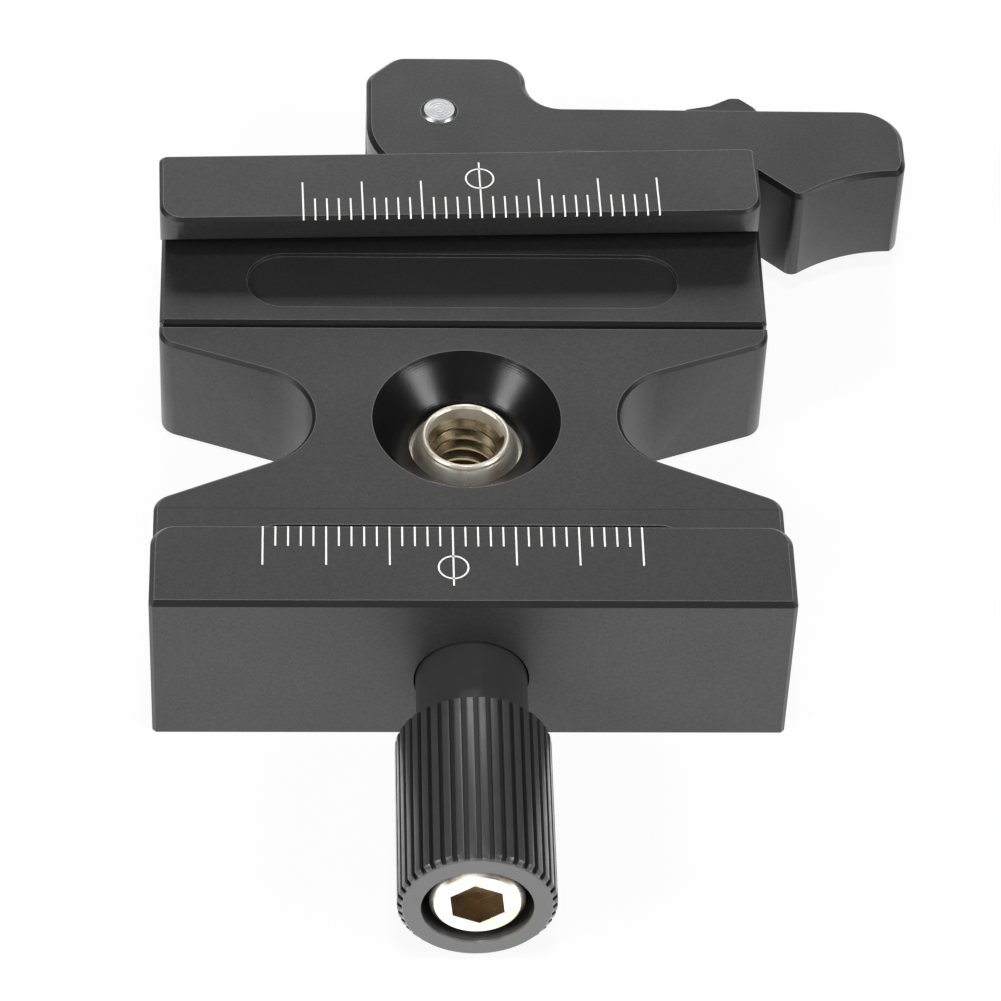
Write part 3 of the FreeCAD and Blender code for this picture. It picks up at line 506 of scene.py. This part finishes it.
@dataclass(frozen=True)
class DrawnMetal(Finish):
    """Ground, drawn or stamped metal.

    The eye gets a plain sheen with fine uneven scratches along the piece.
    """

    metal: str = "#9a9a9b"
    shade: str = "#7c7c7e"
    roughness: float = 0.3
    # Grinding scratches are about 0.02 mm wide, drawn ten times as wide, so that they show.
    scratch_mm: float = 0.2
    scratch_depth_mm: float = 0.005
    stretch: float = 0.12
    metallic: float = 1.0

    def build(self) -> bpy.types.Material:
        """Make the finish.

        Returns:
            The material.
        """
        material, tree, shader = self.start()
        stretched = add_node(tree, "ShaderNodeMapping", {}, {
            "Vector": place_on_piece(tree), "Scale": (1.0, self.stretch, 1.0)}).outputs[0]
        scratch = add_node(tree, "ShaderNodeTexNoise", {}, {
            "Vector": stretched, "Scale": 1.0 / (self.scratch_mm * MM), "Detail": 2.0}).outputs["Fac"]
        tree.links.new(blend_colour(tree, scratch, linear(self.metal), linear(self.shade)),
                       shader.inputs["Base Color"])
        rough = vary(tree, scratch, self.roughness - 0.05, self.roughness + 0.08)
        tree.links.new(rough, shader.inputs["Roughness"])
        tree.links.new(bump(tree, scratch, self.scratch_depth_mm, 0.25), shader.inputs["Normal"])
        shader.inputs["Metallic"].default_value = self.metallic
        return material


@dataclass(frozen=True)
class WhiteFill(Finish):
    """White enamel wiped into engraved lines.

    The eye gets a matt white with small uneven spots.
    """

    enamel: str = "#f2f2f0"
    worn: str = "#d4d4d2"
    spot_mm: float = 0.5
    roughness: float = 0.6

    def build(self) -> bpy.types.Material:
        """Make the finish.

        Returns:
            The material.
        """
        material, tree, shader = self.start()
        spots = between(tree, noise(tree, self.spot_mm), 0.5, 0.75, 0.0, 0.6)
        tree.links.new(blend_colour(tree, spots, linear(self.enamel), linear(self.worn)),
                       shader.inputs["Base Color"])
        shader.inputs["Roughness"].default_value = self.roughness
        return material


def mesh_piece(name: str, body: str, material: bpy.types.Material,
               points: Sequence[Sequence[float]], faces: Iterable[Sequence[int]]) -> bpy.types.Object:
    """Make one flat-shaded piece from points and faces and let it ride on a body.

    Args:
        name: the piece's name.
        body: the body that carries it.
        material: its finish.
        points: corners in metres.
        faces: corner numbers of each face.

    Returns:
        The new object.
    """
    mesh = bpy.data.meshes.new(name)
    mesh.from_pydata([tuple(point) for point in points], [], [tuple(face) for face in faces])
    mesh.materials.append(material)
    shape = bmesh.new()
    shape.from_mesh(mesh)
    bmesh.ops.recalc_face_normals(shape, faces=shape.faces)
    shape.to_mesh(mesh)
    shape.free()
    piece = bpy.data.objects.new(name, mesh)
    bpy.context.scene.collection.objects.link(piece)
    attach(piece, body)
    LOG.info("%s: %d faces on %s", name, len(mesh.polygons), body)
    return piece


@dataclass
class JawScale:
    """White filled scale and centre mark on one jaw, with ticks that start at the lip edge."""

    name: str
    body: str
    slot: str
    lip: float
    away: float
    middle: float
    chamfer: float
    mark_distance: float
    turn: float = 0.0
    turn_y: float = 0.0
    jaw_top: float = 15.54
    tick_count: int = 31
    pitch: float = 1.0
    long_every: int = 5
    short_tick: float = 2.05
    long_tick: float = 4.05
    centre_tick: float = 6.2
    line: float = 0.14
    lip_clearance: float = 0.03
    mark_radius: float = 1.17
    mark_steps: int = 48
    film: float = 0.012

    def on_jaw(self, x: float, y: float, drop: float = 0.0) -> Vector:
        """Put a place in the scale's own plan on the turned jaw.

        Args:
            x: millimetres along the jaw.
            y: millimetres across the jaw.
            drop: millimetres below the jaw's top.

        Returns:
            The place in metres.
        """
        angle = math.radians(self.turn)
        from_turn = y - self.turn_y
        return mm(x * math.cos(angle) - from_turn * math.sin(angle),
                  x * math.sin(angle) + from_turn * math.cos(angle) + self.turn_y,
                  self.jaw_top + self.film - drop)

    def tick_length(self, number: int) -> float:
        """Give the length of a tick.

        Args:
            number: which tick, counted from the middle one.

        Returns:
            Its length in millimetres.
        """
        if number == 0:
            return self.centre_tick
        return self.long_tick if number % self.long_every == 0 else self.short_tick

    def build(self, enamel: bpy.types.Material) -> bpy.types.Object:
        """Make the scale and its mark as one thin piece.

        Args:
            enamel: the finish of its lines.

        Returns:
            The new object.
        """
        points: list[Vector] = []
        faces: list[tuple[int, ...]] = []
        half_count = self.tick_count // 2
        for number in range(-half_count, half_count + 1):
            self.add_line(points, faces, self.middle + number * self.pitch, self.tick_length(number))
        self.add_circle(points, faces)
        return mesh_piece(self.name, self.body, enamel, points, faces)

    def add_line(self, points: list[Vector], faces: list[tuple[int, ...]], x: float, length: float) -> None:
        """Add one tick that runs over the lip chamfer and along the jaw top.

        Args:
            points: the piece's corners, which the tick's corners join.
            faces: the piece's faces, which the tick's faces join.
            x: millimetres along the jaw.
            length: the tick's length in millimetres on the jaw top.
        """
        start = len(points)
        half = self.line / 2
        for distance, drop in ((self.lip_clearance, self.chamfer - self.lip_clearance), (self.chamfer, 0.0),
                               (self.chamfer + length, 0.0)):
            y = self.lip + self.away * distance
            points += [self.on_jaw(x - half, y, drop), self.on_jaw(x + half, y, drop)]
        faces += [(start, start + 1, start + 3, start + 2), (start + 2, start + 3, start + 5, start + 4)]

    def add_circle(self, points: list[Vector], faces: list[tuple[int, ...]]) -> None:
        """Add the ring of the centre mark.

        Args:
            points: the piece's corners, which the ring's corners join.
            faces: the piece's faces, which the ring's faces join.
        """
        start = len(points)
        centre_y = self.lip + self.away * (self.chamfer + self.mark_distance)
        for step in range(self.mark_steps):
            angle = 2 * math.pi * step / self.mark_steps
            for radius in (self.mark_radius - self.line / 2, self.mark_radius + self.line / 2):
                points.append(self.on_jaw(self.middle + radius * math.cos(angle),
                                          centre_y + radius * math.sin(angle)))
        for step in range(self.mark_steps):
            here = start + 2 * step
            there = start + 2 * ((step + 1) % self.mark_steps)
            faces.append((here, here + 1, there + 1, there))


@dataclass
class BushingThread:
    """Helical thread ridge inside the upright bore of the bushing."""

    name: str
    body: str
    slot: str
    wall_radius: float = 3.2
    crest_radius: float = 2.62
    pitch: float = 1.27
    length: float = 8.7
    start_height: float = 0.05
    root_share: float = 0.82
    crest_share: float = 0.16
    steps_per_turn: int = 64

    def build(self, steel: bpy.types.Material) -> bpy.types.Object:
        """Make the ridge from its four-cornered section.

        Args:
            steel: the finish of the thread.

        Returns:
            The new object.
        """
        turns = self.length / self.pitch - self.root_share
        count = int(turns * self.steps_per_turn)
        section = ((self.wall_radius, -self.root_share / 2), (self.crest_radius, -self.crest_share / 2),
                   (self.crest_radius, self.crest_share / 2), (self.wall_radius, self.root_share / 2))
        points: list[Vector] = []
        for step in range(count + 1):
            angle = 2 * math.pi * step / self.steps_per_turn
            rise = self.pitch * (step / self.steps_per_turn + self.root_share / 2)
            for radius, offset in section:
                points.append(mm(radius * math.cos(angle), radius * math.sin(angle),
                                 self.start_height + rise + offset * self.pitch))
        faces: list[tuple[int, ...]] = [(0, 1, 2, 3), tuple(4 * count + corner for corner in (3, 2, 1, 0))]
        for step in range(count):
            for corner in range(4):
                following = (corner + 1) % 4
                faces.append((4 * step + corner, 4 * step + following,
                              4 * step + 4 + following, 4 * step + 4 + corner))
        return mesh_piece(self.name, self.body, steel, points, faces)


@dataclass
class ClampSolids:
    """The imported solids, each with its finish and softened edges."""

    finishes: dict[str, Finish]
    edge_width: float = 0.12
    edge_angle: float = 24.0
    merge_distance: float = 0.001
    unbroken_nodes: tuple[str, ...] = ("return_spring_left", "return_spring_right", "latch_spring",
                                       "thrust_washer", "latch_pin", "guide_pin_left", "guide_pin_right")

    def dress(self) -> None:
        """Give each solid its finish and, on milled and turned pieces, a fine edge break."""
        built: dict[str, bpy.types.Material] = {}
        for node, finish in self.finishes.items():
            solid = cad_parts[node]
            if finish.name not in built:
                built[finish.name] = finish.build()
            for slot in solid.material_slots:
                slot.material = built[finish.name]
            if node not in self.unbroken_nodes:
                self.soften(solid)
            LOG.info("%s: %s", node, finish.name)

    def soften(self, solid: bpy.types.Object) -> None:
        """Break the sharp edges that a machinist would break.

        Args:
            solid: the node's object, which gets the modifiers.
        """
        merge = solid.modifiers.new("joined_corners", "WELD")
        merge.merge_threshold = self.merge_distance * MM
        edge = solid.modifiers.new("edge_break", "BEVEL")
        edge.width = self.edge_width * MM
        edge.segments = 2
        edge.limit_method = "ANGLE"
        edge.angle_limit = math.radians(self.edge_angle)
        edge.harden_normals = True
        edge.use_clamp_overlap = True


@dataclass(frozen=True)
class SoftBox:
    """Square lamp that points at the clamp, in metres and watts."""

    name: str
    place: Point
    size: float
    power: float

    def hang(self) -> None:
        """Add the lamp to the scene."""
        light = bpy.data.lights.new(self.name, "AREA")
        light.shape = "SQUARE"
        light.size = self.size
        light.energy = self.power
        lamp = bpy.data.objects.new(self.name, light)
        lamp.location = self.place
        lamp.rotation_euler = (-Vector(self.place)).to_track_quat("-Z", "Y").to_euler()
        bpy.context.scene.collection.objects.link(lamp)


@dataclass(frozen=True)
class PhotographCamera:
    """The camera of the photograph: angles in degrees, its aim in millimetres, distances in metres."""

    elevation: float = 47.351
    yaw: float = -3.4357
    roll: float = 2.7161
    distance: float = 0.39936
    aim: Point = (2.7196, -6.3020, 8.0)
    lens_mm: float = 175.95
    sensor_mm: float = 36.0
    nearest: float = 0.01
    farthest: float = 20.0

    def place(self) -> Matrix:
        """Work out where the camera stands and how it is turned.

        Returns:
            The camera's place and turn as one matrix.
        """
        up_angle, side_angle, tilt = (math.radians(angle) for angle in (self.elevation, self.yaw, self.roll))
        back = Vector((math.sin(side_angle) * math.cos(up_angle),
                       -math.cos(side_angle) * math.cos(up_angle), math.sin(up_angle)))
        right = (-back).cross(Vector((0, 0, 1))).normalized()
        up = right.cross(-back)
        frame_right = math.cos(tilt) * right + math.sin(tilt) * up
        frame_up = -math.sin(tilt) * right + math.cos(tilt) * up
        view = Matrix((frame_right, frame_up, back)).transposed().to_4x4()
        view.translation = mm(*self.aim) + back * self.distance
        return view

    def build(self) -> None:
        """Add the camera and make it the scene's own."""
        lens = bpy.data.cameras.new("photograph")
        lens.lens = self.lens_mm
        lens.sensor_width = self.sensor_mm
        lens.clip_start = self.nearest
        lens.clip_end = self.farthest
        camera = bpy.data.objects.new("photograph", lens)
        camera.matrix_world = self.place()
        bpy.context.scene.collection.objects.link(camera)
        bpy.context.scene.camera = camera


@dataclass
class Studio:
    """White table, soft lamps, pale room and the camera of a product photograph."""

    table_size: float = 6.0
    table_white: str = "#f4f4f4"
    table_glow: float = 0.9
    mirrored_extra: float = 0.85
    room_grey: str = "#f0f0f0"
    room_light: float = 0.1
    lamps: tuple[SoftBox, ...] = (
        SoftBox("rear_softbox", (0.0, 1.15, 0.68), 0.7, 5.4),
        SoftBox("left_softbox", (-0.7, -0.36, 0.5), 0.32, 5.0),
        SoftBox("right_softbox", (0.7, -0.36, 0.5), 0.32, 4.6),
        SoftBox("front_softbox", (-0.15, -0.85, 0.26), 0.5, 2.0),
        SoftBox("edge_lamp", (0.0, -0.1, 1.0), 0.16, 4.0),
    )
    camera: PhotographCamera = field(default_factory=PhotographCamera)

    def build(self) -> None:
        """Make the table, the lamps, the surroundings and the camera."""
        self.add_table()
        for lamp in self.lamps:
            lamp.hang()
        self.add_surroundings()
        self.camera.build()

    def add_table(self) -> None:
        """Lay the white table, which keeps the clamp's shadow."""
        half = self.table_size / 2
        mesh = bpy.data.meshes.new("table")
        mesh.from_pydata([(-half, -half, 0), (half, -half, 0), (half, half, 0), (-half, half, 0)], [],
                         [(0, 1, 2, 3)])
        table = bpy.data.objects.new("table", mesh)
        bpy.context.scene.collection.objects.link(table)
        # White painted board: to the camera and in mirrors it glows near white, and it takes a soft shadow.
        material = bpy.data.materials.new("white painted table")
        material.use_nodes = True
        tree = material.node_tree
        tree.nodes.clear()
        rays = add_node(tree, "ShaderNodeLightPath")
        seen = arithmetic(tree, "MAXIMUM", rays.outputs["Is Camera Ray"], arithmetic(
            tree, "MAXIMUM", rays.outputs["Is Glossy Ray"], rays.outputs["Is Transmission Ray"]))
        share = arithmetic(tree, "MULTIPLY", seen, self.table_glow)
        paint = add_node(tree, "ShaderNodeBsdfDiffuse", {}, {"Color": linear(self.table_white)})
        mirrored = arithmetic(tree, "MULTIPLY", rays.outputs["Is Glossy Ray"], self.mirrored_extra)
        strength = arithmetic(tree, "ADD", mirrored, 1.0)
        glow = add_node(tree, "ShaderNodeEmission", {}, {"Color": linear(WHITE), "Strength": strength})
        mixed = add_node(tree, "ShaderNodeMixShader", {}, {0: share, 1: paint.outputs[0],
                                                           2: glow.outputs[0]})
        add_node(tree, "ShaderNodeOutputMaterial", {}, {"Surface": mixed.outputs[0]})
        mesh.materials.append(material)

    def add_surroundings(self) -> None:
        """Fill the room with soft grey light that the camera sees as white."""
        world = bpy.data.worlds.new("studio room")
        world.use_nodes = True
        tree = world.node_tree
        tree.nodes.clear()
        rays = add_node(tree, "ShaderNodeLightPath")
        room = add_node(tree, "ShaderNodeBackground", {}, {"Color": linear(self.room_grey),
                                                           "Strength": self.room_light})
        seen = add_node(tree, "ShaderNodeBackground", {}, {"Color": linear(WHITE), "Strength": 1.0})
        mixed = add_node(tree, "ShaderNodeMixShader", {}, {0: rays.outputs["Is Camera Ray"],
                                                           1: room.outputs[0], 2: seen.outputs[0]})
        add_node(tree, "ShaderNodeOutputWorld", {}, {"Surface": mixed.outputs[0]})
        bpy.context.scene.world = world


def clamp_finishes() -> dict[str, Finish]:
    """Say which finish each solid has.

    Returns:
        A finish for each node.
    """
    # Blasted and dyed aluminium: a dark satin that is almost matt, with a turned black funnel.
    body = FunnelledAnodised("bead-blasted black anodised aluminium with a turned funnel")
    # The same blasted aluminium without a funnel.
    block = BlastedAnodised("bead-blasted black anodised aluminium")
    # Blasted more finely: a floor that mirrors the jaw above it, coloured darker as painted shade for the
    # jaw's shadow on it.
    carriage = BlastedAnodised("bead-blasted black anodised carriage", dye="#2f2f2f", dye_high="#383838",
                               roughness=0.35, rim_highlight="#6c6c6c")
    # Tumbled before it was dyed: a little smoother and darker than the body.
    lever = BlastedAnodised("bead-blasted black anodised lever", dye="#303030", dye_high="#393939",
                            roughness=0.4)
    # Oxide on steel: a dull dark grey with a faint metal sheen.
    latch = DrawnMetal("black oxide steel", metal="#3a3a3b", shade="#464647", roughness=0.42)
    # Ground pins: a plain light grey metal.
    ground = DrawnMetal("ground steel")
    # Milled bar and plate: a middle grey with softer highlights than the ground pins.
    rod = DrawnMetal("milled steel", metal="#8c8c8c", shade="#6f6f70", roughness=0.36)
    # Spring wire: a darker grey that catches thin highlights along the coils.
    spring = DrawnMetal("drawn spring wire", metal="#8a8a8c", shade="#6a6a6c", roughness=0.28)
    # Stamped brass: a muted yellow metal.
    brass = DrawnMetal("stamped brass", metal="#b5934b", shade="#99783a", roughness=0.32)
    # Bushing with dull turned steps: a pale warm metal that stays bright in the dark funnel.
    bushing = TurnedSteel("turned stainless bushing", steel="#dcd7cb", roughness=0.32, metallic=0.6)
    # Screw head under the lamps: almost white, with cream patches and painted brown shade in its hex socket.
    stop = TurnedSteel("polished stainless screw", steel="#efece4", tint="#c9a970",
                       centre=(0.0, 0.0, 6.5), axis=Axis.KNOB, roughness=0.3, ring_strength=0.15,
                       socket_radius=2.33, socket_from=-46.72)
    # Faced end of the lever pin: a light grey disc with rings round its middle.
    pin = TurnedSteel("turned steel pin end", steel="#a6a7a8", tint="#8b8c8e", centre=(-1.65, 36.6, 0.0),
                      ring_pitch_mm=0.3, roughness=0.34)
    return {
        "clamp_base": body, "rear_carriage": carriage, "rear_jaw": block,
        "knob": RidgedAnodised("turned and ridged black anodised aluminium"),
        "lever": lever, "safety_latch": latch, "latch_pin": ground, "lever_pin": pin,
        "thread_bushing": bushing, "knob_screw": stop, "draw_rod": rod, "cam_plate": rod,
        "thrust_washer": brass, "guide_pin_left": ground, "guide_pin_right": ground,
        "jaw_screw_left": latch, "jaw_screw_right": latch,
        "return_spring_left": spring, "return_spring_right": spring, "latch_spring": spring,
    }


def main() -> None:
    """Build the looks of the clamp round its solids, in the order of assembly."""
    bpy.context.scene.view_settings.view_transform = "Standard"
    ClampSolids(clamp_finishes()).dress()
    enamel = WhiteFill("white enamel fill").build()
    JawScale("near_scale", "base", "black_anodised", lip=-15.71, away=-1.0, middle=-1.56, chamfer=0.4,
             mark_distance=4.27).build(enamel)
    JawScale("far_scale", "carriage", "black_anodised_jaw", lip=19.2, away=1.0, middle=1.65, chamfer=0.3,
             mark_distance=4.22, turn=1.59, turn_y=17.0).build(enamel)
    # Cut thread with old grease in its roots: a dull brown metal.
    thread_steel = TurnedSteel("threaded stainless", steel="#94866a", tint="#4c3518", roughness=0.3,
                               ring_strength=0.1).build()
    BushingThread("tripod_thread", "base", "turned_stainless").build(thread_steel)
    Studio().build()


if __name__ == "__main__":
    main()
